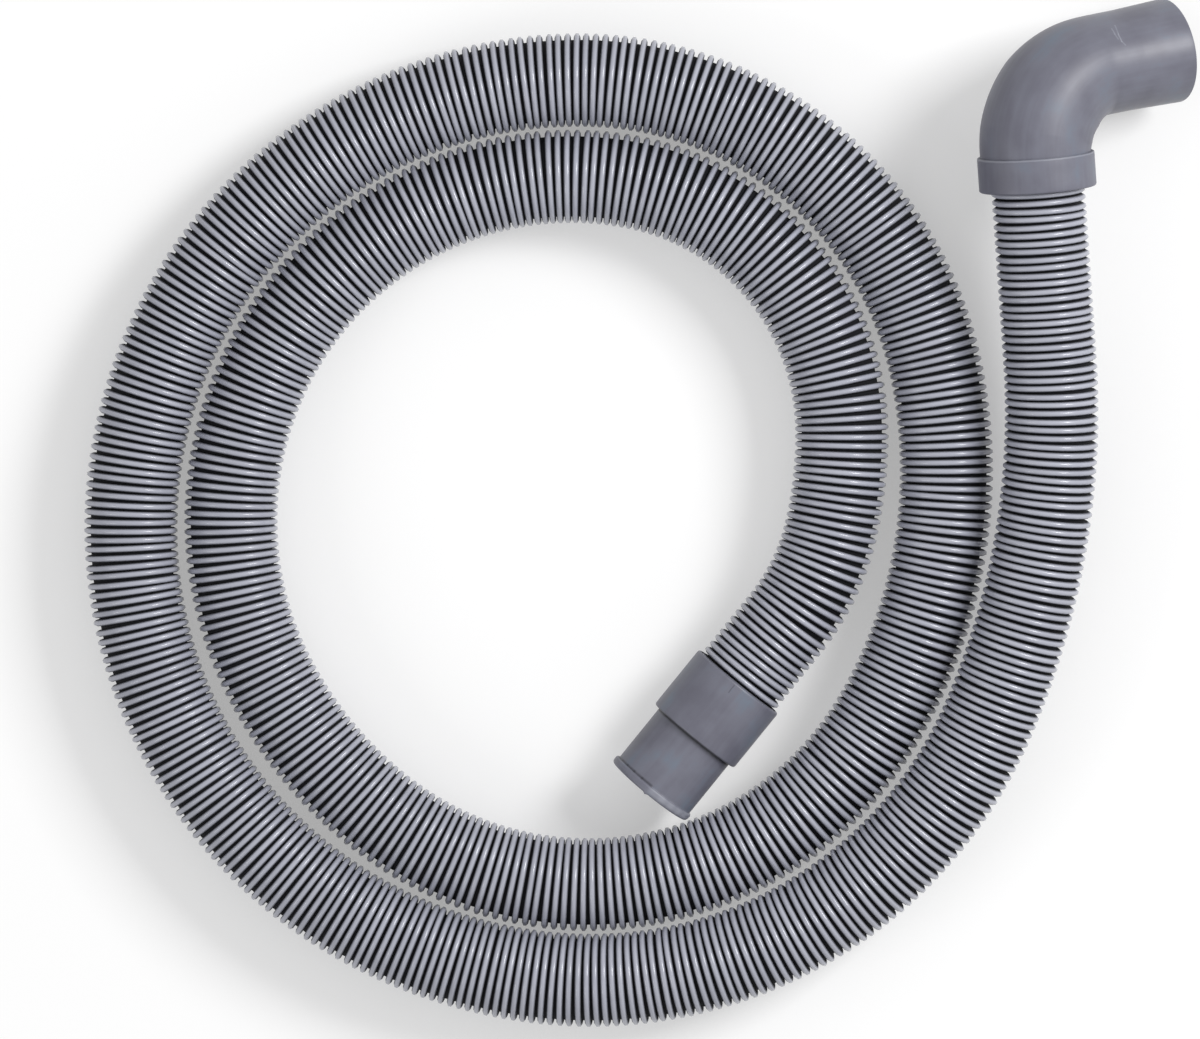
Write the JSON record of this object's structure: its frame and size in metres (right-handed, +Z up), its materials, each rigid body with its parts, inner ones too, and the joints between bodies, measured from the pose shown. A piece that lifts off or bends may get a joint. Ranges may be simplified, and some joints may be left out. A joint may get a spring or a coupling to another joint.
{
  "type": "ribbed drain hose kit",
  "caption": "Ribbed grey drain hose in a loose coil, with a swivelling elbow on its outer end and a swivelling straight spigot connector on its inner end.",
  "frame": {"origin": "on the floor that the hose lies on, at the middle of its coil", "axes": "+Z up from the floor; +Y from the coil's middle towards the elbow's end of the kit, in line with the coil's long straight side; +X to the right, the side on which the hose runs up to the elbow"},
  "size_m": [0.4515, 0.4175, 0.0717],
  "materials": {
    "hose_plastic": "blow-moulded soft plastic, slightly glossy, blue-grey",
    "fitting_plastic": "injection-moulded rigid plastic, satin, purple-grey",
    "seal_rubber": "moulded black rubber",
    "ring_plastic": "natural acetal, matte"
  },
  "bodies": {
    "root": {"hose": "hose_plastic", "elbow_grab_ring": "ring_plastic", "cuff_grab_ring": "ring_plastic"},
    "elbow_end": {"elbow": "fitting_plastic", "elbow_collar": "fitting_plastic", "elbow_seal": "seal_rubber"},
    "straight_end": {"cuff": "fitting_plastic", "spigot": "fitting_plastic", "cuff_seal": "seal_rubber"}
  },
  "joints": [
    {"name": "elbow_swivel", "type": "hinge", "parent": "root", "child": "elbow_end", "pos_m": [0.19186, 0.13544, 0.047], "axis": [-0.0696, 0.9951, 0.0698], "continuous": true},
    {"name": "cuff_swivel", "type": "hinge", "parent": "root", "child": "straight_end", "pos_m": [0.0705, -0.0655, 0.02065], "axis": [-0.6293, -0.7771, 0], "continuous": true}
  ]
}
